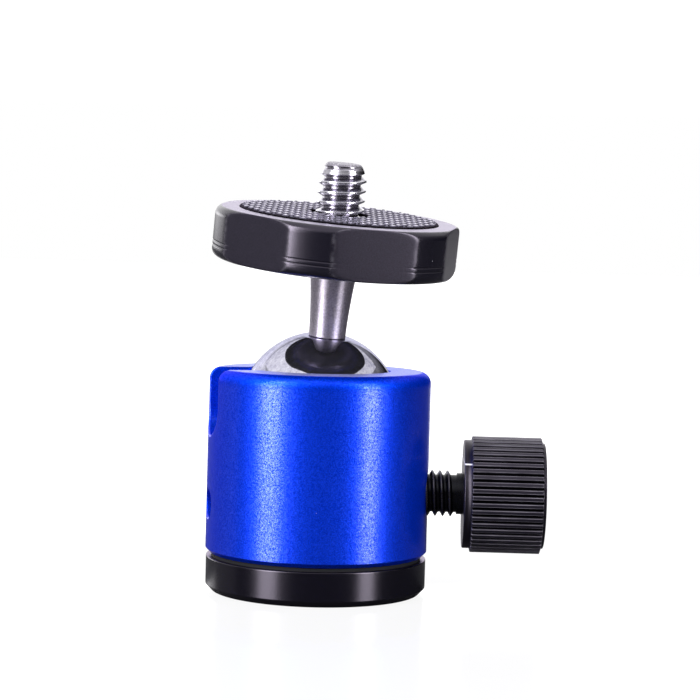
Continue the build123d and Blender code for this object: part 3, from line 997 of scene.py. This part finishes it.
COLLAR_EDGE = (19.95, 20.05)
COLLAR_GLINT_HEIGHTS = (17.54, 17.60), (17.70, 17.76)
around = ((np.arange(RIBS)[:, None] + RIB_SAMPLES[None, :]) * TURN / RIBS).ravel()
rib = np.tile(np.interp(RIB_SAMPLES, *zip(*RIB_LOW_SIDE, *RIB_HIGH_SIDE)), RIBS)
corner = np.tile(np.interp(RIB_SAMPLES, *zip(*RIB_CORNERS)), RIBS)
grip_profile = rounded(
    [
        (GRIP_BORE, BORE_DEEP),
        (GRIP_BORE, COLLAR_LOW),
        (COLLAR_R, COLLAR_LOW),
        (COLLAR_R, COLLAR_TOP),
        (RIB_ROOT, RIBS_LOW),
        (RIB_ROOT, RIBS_TOP),
        (LAND_R, RIBS_TOP),
        (LAND_R, LAND_TOP),
        (RECESS_R, LAND_TOP),
        (RECESS_R, RECESS_FLOOR),
        (5.9, RECESS_FLOOR),
    ],
    [0.1, 0.16, 0.0, 0.0, 0.1, 0.05, 0.12, 0.08, 0.02],
    steps=5,
)
along_grip = np.concatenate([LOW_RAMP_ROWS, RIB_ROWS, HIGH_RAMP_ROWS])
at_root = np.isclose(grip_profile[:, 0], RIB_ROOT)
first = int(np.argmax(at_root & (grip_profile[:, 1] > COLLAR_TOP))) + 1
last = int(np.argmax(grip_profile[:, 1] > RAMP_START))
root_rows = np.stack([RIB_ROOT + 0 * along_grip, along_grip], 1)
grip_profile = np.vstack([grip_profile[:first], root_rows, grip_profile[last:]])
envelope = np.interp(grip_profile[:, 1], *zip(*RIB_ENDS))
envelope *= np.isclose(grip_profile[:, 0], RIB_ROOT)
radius = grip_profile[:, 0][:, None] + RIB_RISE * envelope[:, None] * rib[None, :]
grip_points = np.stack(
    [
        radius * np.cos(around),
        radius * np.sin(around),
        np.broadcast_to(grip_profile[:, 1][:, None], radius.shape),
    ],
    -1,
)
grip_piece = grid_piece(
    "ribbed_grip",
    grip_points[::-1],
    screw,
    "knob",
    "knob_grip",
    marks={
        "corner": (corner[None, :] * envelope[:, None])[::-1],
        "groove": ((1 - rib[None, :]) * envelope[:, None])[::-1],
    },
)

black_grip, m = new_finish("black_anodised_knurled")
rib_edge_glint_mark = m.make("Attribute", {"attribute_name": "corner"}, output="Fac")
groove_painted_shade = m.make("Attribute", {"attribute_name": "groove"}, output="Fac")
soft = grain(m, 0.14, detail=2.0)
collar = 1 - distance_along(m, screw).clamped(*COLLAR_EDGE)
# Painted highlight on the ribs' edges, with some wear.
wear_and_painted_glint = rib_edge_glint_mark * (grain(m, 3.0).clamped(0.2, 0.8) * 0.5 + 0.15)
dust_mask = specks(m, 1.4, 0.08, 0.10)
tint = blend(m, soft, colour(0.003, 0.0026, 0.005), colour(0.011, 0.010, 0.016))
tint = blend(m, wear_and_painted_glint, tint, colour(0.30, 0.28, 0.34))
# Painted shade in the grooves between the ribs.
tint = blend(m, groove_painted_shade, tint, colour(0.0005, 0.0005, 0.001))
# Painted highlight: a short light line on the collar stands for a glint.
collar_painted_glint = collar * distance_along(m, upright).between(*COLLAR_GLINT_HEIGHTS)
collar_tint = blend(m, collar_painted_glint, colour(0.001, 0.001, 0.002), colour(0.7, 0.68, 0.74))
tint = blend(m, collar, tint, collar_tint)
surface(
    m,
    Base_Color=blend(m, dust_mask, tint, colour(0.6, 0.6, 0.65)),
    Metallic=groove_painted_shade * 0.70 + 0.20,
    Roughness=soft * 0.12 + 0.26 + collar * 0.08,
    Specular_IOR_Level=0.55,
    Specular_Tint=VIOLET_SHINE,
    Normal=bump(m, soft, 0.008),
)
grip_piece.data.materials.append(black_grip)
dress("knob_cap", dull_black)

# %% [markdown]
# ## The lock screw
#
# The engineering model already carries this screw's M6 thread as a true spiral, so its shape stays.
# Black oxide over rolled steel is nearly black, with an oily gloss. Its crests are painted lighter,
# a painted highlight.

# %% Lock screw
M6_CREST = (2.75, 2.98)
black_oxide, m = new_finish("black_oxide_steel")
# Painted highlight: the crests are coloured lighter.
painted_crest_light = distance_from(m, screw).clamped(*M6_CREST)
soft = grain(m, 0.12, detail=2.0)
surface(
    m,
    Base_Color=blend(m, painted_crest_light * 0.6, colour(0.010, 0.010, 0.014), colour(0.14, 0.13, 0.16)),
    Metallic=0.75,
    Roughness=soft * 0.12 + 0.22,
    Normal=bump(m, soft, 0.006),
)
dress("lock_screw", black_oxide)

# %% [markdown]
# ## Hidden pieces
#
# The guide screw, the brass cone and block, and the nylon shell show only when the head is taken
# apart or looked into. They still get real finishes: dark steel, turned brass and milky nylon.

# %% Brass, nylon and dark steel
turned_brass, m = new_finish("turned_brass")
soft = grain(m, 0.4, detail=3.0)
surface(
    m,
    Base_Color=blend(m, soft, colour(0.55, 0.38, 0.14), colour(0.74, 0.55, 0.25)),
    Metallic=1.0,
    Roughness=soft * 0.14 + 0.26,
    Normal=bump(m, grain(m, 0.1), 0.006),
)
milky_nylon, m = new_finish("milky_nylon")
soft = grain(m, 0.8)
surface(
    m,
    Base_Color=blend(m, soft, colour(0.70, 0.68, 0.60), colour(0.82, 0.81, 0.75)),
    Roughness=soft * 0.1 + 0.42,
    Normal=bump(m, grain(m, 0.2), 0.006),
)
for node, material in {
    "lift_block": turned_brass,
    "thrust_tip": turned_brass,
    "ball_pad": milky_nylon,
    "guide_screw": black_oxide,
}.items():
    dress(node, material)
